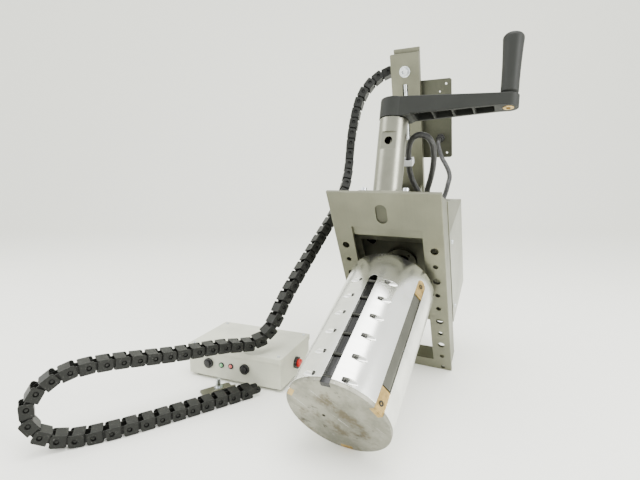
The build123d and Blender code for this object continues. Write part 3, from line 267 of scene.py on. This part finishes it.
def drum_aluminium():
    """Turned aluminium: tight rings round the drum, faint dull patches and long scratches."""
    made = Finish("drum_skin", (0.88, 0.885, 0.84), metallic=1.0, roughness=0.2, bevel=0.0005)
    rings = made.noise(made.placed(TO_HEAD, (6, 2600, 6)), 1.0, 2)
    wide = made.noise(made.placed(TO_HEAD, (3, 130, 3)), 1.0, 3)
    dull = made.noise(made.placed(TO_HEAD, (1, 1, 1)), 22, 6)
    scratch = made.noise(made.placed((TO_HEAD[0], 0.2, 0.9), (700, 18, 700)), 1.0, 2)
    made.tint(made.spread(dull, 0.5, 0.78, 0, 0.45), (0.42, 0.42, 0.38))
    made.tint(made.spread(wide, 0.45, 0.75, 0, 0.22), (0.60, 0.60, 0.57))
    made.tint(made.spread(scratch, 0.72, 0.78, 0, 0.5), (0.45, 0.45, 0.45))
    patches, bands = made.math("MULTIPLY", dull, 0.7), made.math("MULTIPLY", wide, 0.3)
    made.shine(made.math("ADD", patches, bands), 0.08, 0.38)
    made.bump(rings, 0.00001, 0.35)
    made.bump(wide, 0.00002, 0.2)
    return made.material


def stained_aluminium():
    """Dull end plate with grey blotches, brown stains, fine grain and knocks."""
    made = Finish("end_plate_metal", (0.30, 0.295, 0.245), metallic=0.9, roughness=0.42, bevel=0.0005)
    blotch = made.noise(made.placed(TO_HEAD, (1, 1, 1)), 30, 8, 0.65)
    stain = made.noise(made.placed(TO_HEAD, (1, 1, 1), (0.03, 0.01, 0)), 16, 6, 0.7)
    fine = made.noise(made.placed(TO_HEAD, (1, 1, 1)), 260, 4)
    scratch = made.noise(made.placed((TO_HEAD[0], 0.8, 0.2), (500, 500, 10)), 1.0, 2)
    made.tint(made.spread(blotch, 0.42, 0.62), (0.19, 0.188, 0.15))
    made.tint(made.spread(blotch, 0.60, 0.70, 0, 0.8), (0.42, 0.415, 0.36))
    rim = made.noise(made.placed(TO_HEAD, (1, 1, 1), (0.2, 0.1, 0.05)), 42, 7, 0.7)
    made.tint(made.spread(stain, 0.54, 0.62, 0, 0.75), (0.10, 0.075, 0.035))
    made.tint(made.spread(rim, 0.60, 0.66, 0, 0.8), (0.045, 0.035, 0.02))
    made.tint(made.spread(scratch, 0.68, 0.74, 0, 0.7), (0.85, 0.85, 0.84))
    made.shine(blotch, 0.28, 0.62)
    made.bump(fine, 0.00004, 0.4)
    made.bump(blotch, 0.00006, 0.3)
    return made.material


def turned_steel(name, colour, roughness, turn=TO_HEAD, stretch=(500, 500, 8)):
    """Satin steel bar or tube with grain along it and oily smears."""
    made = Finish(name, colour, metallic=1.0, roughness=roughness, bevel=0.0004)
    grain = made.noise(made.placed(turn, stretch), 1.0, 3)
    smear = made.noise(made.placed(turn, (1, 1, 1)), 34, 5)
    made.tint(made.spread(smear, 0.42, 0.72, 0, 0.7), tuple(value * 0.72 for value in colour))
    made.tint(made.spread(grain, 0.5, 0.8, 0, 0.3), tuple(min(1, value * 1.15) for value in colour))
    made.shine(smear, roughness - 0.08, roughness + 0.14)
    made.bump(grain, 0.00002, 0.35)
    return made.material


def aged_brass(name, colour):
    """Brass gone brown in its hollows, with bright rubbed patches."""
    made = Finish(name, colour, metallic=1.0, roughness=0.36, bevel=0.0004)
    patina = made.noise(made.placed(TO_HEAD, (1, 1, 1)), 120, 6, 0.65)
    rub = made.noise(made.placed(TO_HEAD, (60, 900, 60)), 1.0, 3)
    made.tint(made.spread(patina, 0.44, 0.64, 0, 0.85), tuple(value * 0.42 for value in colour))
    made.tint(made.spread(rub, 0.58, 0.74, 0, 0.6), (0.66, 0.49, 0.21))
    made.shine(patina, 0.24, 0.6)
    made.bump(patina, 0.00005, 0.4)
    return made.material


def moulded(name, colour, roughness, grain=900, depth=0.00003, dust=0.0, sheen=0.35):
    """Moulded plastic: fine spark-eroded grain, faint flow marks and dust."""
    made = Finish(name, colour, roughness=roughness, bevel=0.0005)
    made.shader.inputs["Specular IOR Level"].default_value = sheen
    fine = made.noise(made.placed(scale=(1, 1, 1)), grain, 2)
    flow = made.noise(made.placed(scale=(1, 1, 1)), 26, 5)
    made.tint(made.spread(flow, 0.45, 0.75, 0, 0.5), tuple(value * 1.5 for value in colour))
    if dust:
        specks = made.noise(made.placed(scale=(1, 1, 1)), 420, 3)
        made.tint(made.spread(specks, 0.62, 0.72, 0, dust), (0.35, 0.34, 0.33))
    made.shine(flow, roughness - 0.08, roughness + 0.14)
    made.bump(fine, depth, 0.5)
    return made.material


def woven(name, colour, thread):
    """Braided sleeve: pale threads cross dark ones along both diagonals of the tube."""
    made = Finish(name, colour, roughness=0.4)
    parts = made.node("ShaderNodeSeparateXYZ")
    made.link(made.node("ShaderNodeTexCoord").outputs["UV"], parts.inputs["Vector"])
    around = made.math("MULTIPLY", parts.outputs["X"], 2 * pi * WEAVE_THREADS)
    along = made.math("MULTIPLY", parts.outputs["Y"], 2 * pi * WEAVE_THREADS)
    left = made.math("SINE", made.math("ADD", around, along), 0)
    right = made.math("SINE", made.math("SUBTRACT", around, along), 0)
    cross = made.math("MULTIPLY", left, right)
    fray = made.noise(made.placed(), 900, 3)
    made.tint(made.math("MULTIPLY", made.spread(cross, 0.25, 0.75), made.spread(fray, 0.3, 0.6)), thread)
    made.shine(fray, 0.28, 0.55)
    made.bump(cross, 0.0001, 0.6)
    return made.material


def painted(name, colour):
    """Powder-coated sheet: orange peel, dark specks and grime."""
    made = Finish(name, colour, roughness=0.42, bevel=0.0008)
    peel = made.noise(made.placed(scale=(1, 1, 1)), 700, 2)
    grime = made.noise(made.placed(scale=(1, 1, 1)), 18, 7, 0.6)
    specks = made.noise(made.placed(scale=(1, 1, 1)), 260, 4)
    made.tint(made.spread(grime, 0.44, 0.74, 0, 0.7), tuple(value * 0.74 for value in colour))
    made.tint(made.spread(specks, 0.70, 0.76, 0, 0.6), (0.25, 0.24, 0.22))
    made.shine(grime, 0.34, 0.6)
    made.bump(peel, 0.00003, 0.35)
    return made.material


def rubber(name, colour):
    """Dark elastomer with a chalky bloom."""
    made = Finish(name, colour, roughness=0.7, bevel=0.0004)
    bloom = made.noise(made.placed(scale=(1, 1, 1)), 60, 6, 0.6)
    fine = made.noise(made.placed(scale=(1, 1, 1)), 1200, 2)
    made.tint(made.spread(bloom, 0.46, 0.72, 0, 0.6), tuple(value * 2.2 for value in colour))
    made.shine(bloom, 0.55, 0.85)
    made.bump(fine, 0.00003, 0.5)
    return made.material


def lamp_lens(name, colour):
    """A small glowing-coloured lens, moulded with fine rings inside."""
    made = Finish(name, colour, roughness=0.15)
    made.shader.inputs["Coat Weight"].default_value = 0.6
    made.shader.inputs["Subsurface Weight"].default_value = 0.2
    depth = made.noise(made.placed(scale=(1, 1, 1)), 900, 3)
    made.tint(made.spread(depth, 0.4, 0.7, 0, 0.6), tuple(min(1, value * 1.6 + 0.05) for value in colour))
    made.shine(depth, 0.08, 0.25)
    return made.material


def zinc(name="zinc_steel"):
    """Zinc-plated steel, cool and bright with a slight mottle."""
    made = Finish(name, (0.68, 0.71, 0.73), metallic=1.0, roughness=0.26, bevel=0.0003)
    mottle = made.noise(made.placed(scale=(1, 1, 1)), 240, 5)
    made.tint(made.spread(mottle, 0.45, 0.70, 0, 0.7), (0.42, 0.46, 0.48))
    made.shine(mottle, 0.16, 0.42)
    made.bump(mottle, 0.00002, 0.3)
    return made.material


def circuit_board():
    """Green board with paler tracks."""
    made = Finish("board_green", (0.03, 0.16, 0.07), roughness=0.35)
    tracks = made.noise(made.placed(scale=(300, 40, 40)), 1.0, 0)
    made.tint(made.spread(tracks, 0.55, 0.57, 0, 0.7), (0.10, 0.34, 0.16))
    made.bump(tracks, 0.00005, 0.5)
    return made.material


FINISHES = {
    "stainless": sheet_steel("stainless_sheet", (0.21, 0.21, 0.158), TO_HEAD, 0.80, 0.42),
    "satin_steel": turned_steel("satin_bar", (0.23, 0.23, 0.185), 0.30),
    "drum_aluminium": drum_aluminium(),
    "end_aluminium": stained_aluminium(),
    "brass": aged_brass("old_brass", (0.50, 0.345, 0.125)),
    "bronze": aged_brass("bush_bronze", (0.42, 0.30, 0.16)),
    "strip": turned_steel("strip_metal", (0.12, 0.12, 0.10), 0.42),
    "dark_strip": moulded("slot_filler", (0.004, 0.004, 0.004), 0.16, 400, 0.00005),
    "dark_steel": turned_steel("black_screw_steel", (0.05, 0.05, 0.045), 0.34),
    # dark_sheet: the stainless sheet darkened as painted shade for the deep, shadowed housing interior
    "dark_sheet": sheet_steel("shade_darkened_sheet_steel", (0.13, 0.13, 0.10), TO_HEAD, 0.7, 0.5),
    "zinc": zinc(),
    "gear_steel": turned_steel("gear_metal", (0.36, 0.36, 0.36), 0.34),
    "crank_plastic": moulded("crank_nylon", (0.012, 0.013, 0.011), 0.5, 700, 0.00004, sheen=0.22),
    "chain_plastic": moulded("chain_nylon", (0.0095, 0.010, 0.0085), 0.42, 900, 0.00003, 0.12, 0.2),
    "cable_sleeve": woven("sleeve_weave", (0.005, 0.005, 0.005), (0.085, 0.085, 0.08)),
    "tag": moulded("tag_plastic", (0.58, 0.59, 0.60), 0.5),
    "black_plastic": moulded("black_moulding", (0.018, 0.018, 0.018), 0.4),
    "box_paint": painted("box_coat", (0.55, 0.555, 0.455)),
    "black_button": moulded("button_black", (0.012, 0.012, 0.012), 0.3),
    "red_button": moulded("button_red", (0.50, 0.015, 0.012), 0.32),
    "green_lamp": lamp_lens("lens_green", (0.16, 0.50, 0.22)),
    "red_lamp": lamp_lens("lens_red", (0.60, 0.07, 0.06)),
    "rubber": rubber("foot_rubber", (0.02, 0.02, 0.02)),
    "board": circuit_board(),
}


# the same stainless in darker and brighter copies, as painted shade and painted light: the oval plug in its recess
# and the sensor plate darker, the side panel brighter
LIT_AND_SHADED_FINISHES = {
    "oval_plug": sheet_steel("plug_shaded_sheet", (0.115, 0.115, 0.088), TO_HEAD, 0.72, 0.48),
    "sensor_plate": sheet_steel("sensor_shaded_sheet", (0.12, 0.122, 0.094), TO_HEAD, 0.72, 0.40),
    "side_panel": sheet_steel("panel_lit_sheet", (0.36, 0.365, 0.31), TO_HEAD, 0.86, 0.36),
}


def dress_frame():
    """Gives every CAD node the finish of its material slot, or its own lit or shaded copy of it."""
    for row in frame["record"]["subparts"]:
        mesh = NODES[row["node"]].data
        mesh.materials.clear()
        mesh.materials.append(LIT_AND_SHADED_FINISHES.get(row["node"], FINISHES[row["material_slot"]]))


dress_frame()

# ---------------------------------------------------------------- braided cable sleeves
LOOP_RADIUS, GLAND_RADIUS = 0.0049, 0.0044
SLEEVE_ROUNDS, SLEEVE_STEP, SLEEVE_UV_LENGTH = 24, 0.0016, 0.03
BRAID_STRANDS, BRAID_PITCH, BRAID_RELIEF, BRAID_SEAT = 6, 0.017, 0.00032, 1.2
LOOP_ROUTE = (
    (27, 110, 313.85), (27, 110, 322), (20, 110, 337), (15.5, 110, 356), (15, 110, 376), (16.2, 110, 394),
    (19.5, 110, 409.5), (26.8, 110, 420.5), (38, 110, 424.5), (49.3, 110, 420.5), (56, 110, 409.5),
    (57.5, 110, 394), (56, 110, 376), (52, 110, 356), (46.5, 110, 338), (41.5, 110, 324), (41.5, 110, 313.85),
)
GLAND_ROUTE = (
    (26.4, 301.98, 332.08), (26.4, 293.2, 333.56), (27, 286, 330), (30, 280, 319), (36, 270, 307),
    (46, 256, 299), (55, 238, 293), (59.5, 220, 289), (58.8, 205, 286), (57, 198.5, 276.5),
    (53.5, 191, 265.5), (50, 181, 257), (50, 171.05, 257),
)


def head_point(point):
    """A point of the head's own frame, in millimetres, as a place in the model."""
    x, y, z = (value / 1000 for value in point)
    up = Vector((0, -BACK.z, BACK.y))
    return PLATE_FOOT + Vector((x, 0, 0)) + BACK * y + up * z


def centre_line(name, route):
    """Even points along a smooth curve through the route's hulls, read back from the curve."""
    curve = bpy.data.curves.new(name + "_line", "CURVE")
    curve.dimensions = "3D"
    spline = curve.splines.new("NURBS")
    spline.points.add(len(route) - 1)
    for point, place in zip(spline.points, route):
        point.co = (*head_point(place), 1)
    spline.order_u = 3
    spline.use_endpoint_u = True
    spline.resolution_u = 32
    holder = bpy.data.objects.new(name + "_line", curve)
    bpy.context.scene.collection.objects.link(holder)
    bpy.context.view_layer.update()
    flat = bpy.data.meshes.new_from_object(holder)
    found = [vertex.co.copy() for vertex in flat.vertices]
    bpy.data.objects.remove(holder)
    bpy.data.meshes.remove(flat)
    lengths = [0.0]
    for first, second in zip(found, found[1:]):
        lengths.append(lengths[-1] + (second - first).length)
    count = int(lengths[-1] / SLEEVE_STEP)
    even, index = [], 0
    for step in range(count + 1):
        target = lengths[-1] * step / count
        while index < len(found) - 2 and lengths[index + 1] < target:
            index += 1
        span = max(lengths[index + 1] - lengths[index], 1e-9)
        even.append(found[index].lerp(found[index + 1], (target - lengths[index]) / span))
    return even


def braided_sleeve(node, route, radius):
    """A woven tube that takes the place of a plain cable."""
    line = centre_line(node, route)
    build = bmesh.new()
    uv = build.loops.layers.uv.new("UVMap")
    side = (line[1] - line[0]).orthogonal().normalized()
    rings = []
    for index, place in enumerate(line):
        ahead = (line[min(index + 1, len(line) - 1)] - line[max(index - 1, 0)]).normalized()
        side = (side - ahead * side.dot(ahead)).normalized()
        across = ahead.cross(side)
        ring = []
        for turn in range(SLEEVE_ROUNDS):
            angle = 2 * pi * turn / SLEEVE_ROUNDS
            travel = 2 * pi * index * SLEEVE_STEP / BRAID_PITCH
            left = cos(BRAID_STRANDS * angle + travel)
            right = cos(BRAID_STRANDS * angle - travel)
            lift = BRAID_RELIEF * (max(left, right) - BRAID_SEAT)
            ring.append(build.verts.new(place + (side * cos(angle) + across * sin(angle)) * (radius + lift)))
        rings.append(ring)
    for index in range(len(rings) - 1):
        for turn in range(SLEEVE_ROUNDS):
            following = (turn + 1) % SLEEVE_ROUNDS
            face = build.faces.new((rings[index][turn], rings[index][following],
                                    rings[index + 1][following], rings[index + 1][turn]))
            face.smooth = True
            for loop, (u, v) in zip(face.loops, ((turn, index), (turn + 1, index),
                                                 (turn + 1, index + 1), (turn, index + 1))):
                loop[uv].uv = (u / SLEEVE_ROUNDS, v * SLEEVE_STEP / SLEEVE_UV_LENGTH)
    for ring in (rings[0], rings[-1]):
        build.faces.new(ring)
    bmesh.ops.recalc_face_normals(build, faces=build.faces)
    mesh = bpy.data.meshes.new(node + "_sleeve")
    build.to_mesh(mesh)
    build.free()
    mesh.materials.append(FINISHES["cable_sleeve"])
    sleeve = bpy.data.objects.new(node + "_sleeve", mesh)
    bpy.context.scene.collection.objects.link(sleeve)
    return sleeve


SLEEVES = (("loop_cable", LOOP_ROUTE, LOOP_RADIUS), ("gland_cable", GLAND_ROUTE, GLAND_RADIUS))
for node, route, radius in SLEEVES:
    sleeve = braided_sleeve(node, route, radius)
    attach(sleeve, "root")
    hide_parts(node)
